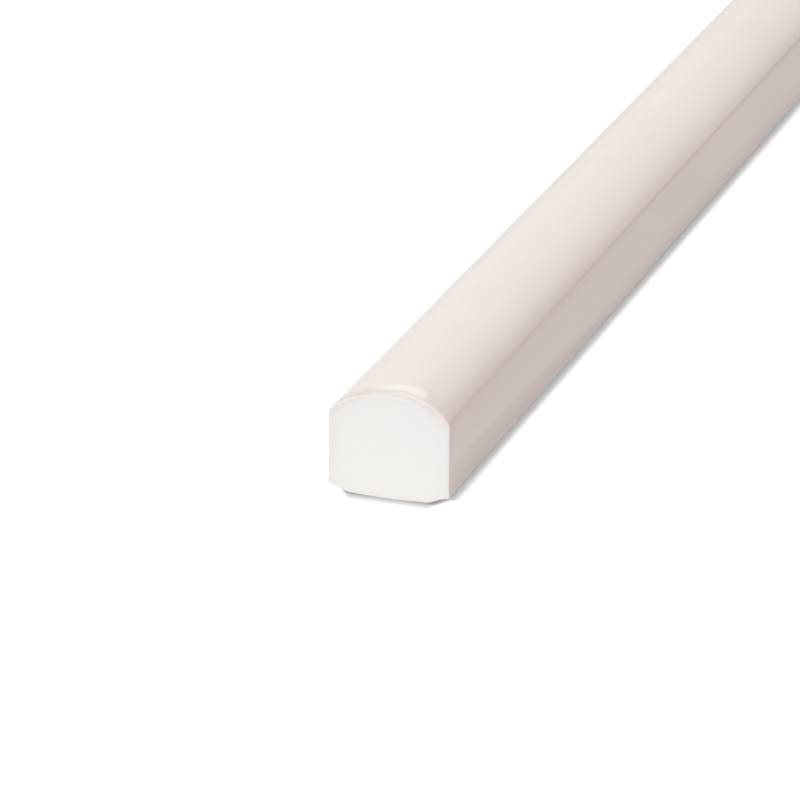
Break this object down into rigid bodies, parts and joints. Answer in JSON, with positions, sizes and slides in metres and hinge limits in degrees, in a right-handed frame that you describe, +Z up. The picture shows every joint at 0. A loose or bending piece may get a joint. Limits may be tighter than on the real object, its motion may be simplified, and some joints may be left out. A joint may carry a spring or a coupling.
{
  "type": "quarter round tile",
  "caption": "Slim glazed ceramic trim tile with a domed front, upright sides and a rebated flat back, used to finish an edge or corner of wall tiling.",
  "frame": {"origin": "middle of the flat foot on the back, on the surface that the tile lies on", "axes": "+Y along the length, +X across the width, +Z up from the back through the crown"},
  "size_m": [0.0116, 0.152, 0.0105],
  "materials": {
    "glaze": "glossy off-white glaze, with a bare matt white body on the ends and the back"
  },
  "bodies": {
    "root": {"quarter_round_tile": "glaze"}
  },
  "joints": []
}
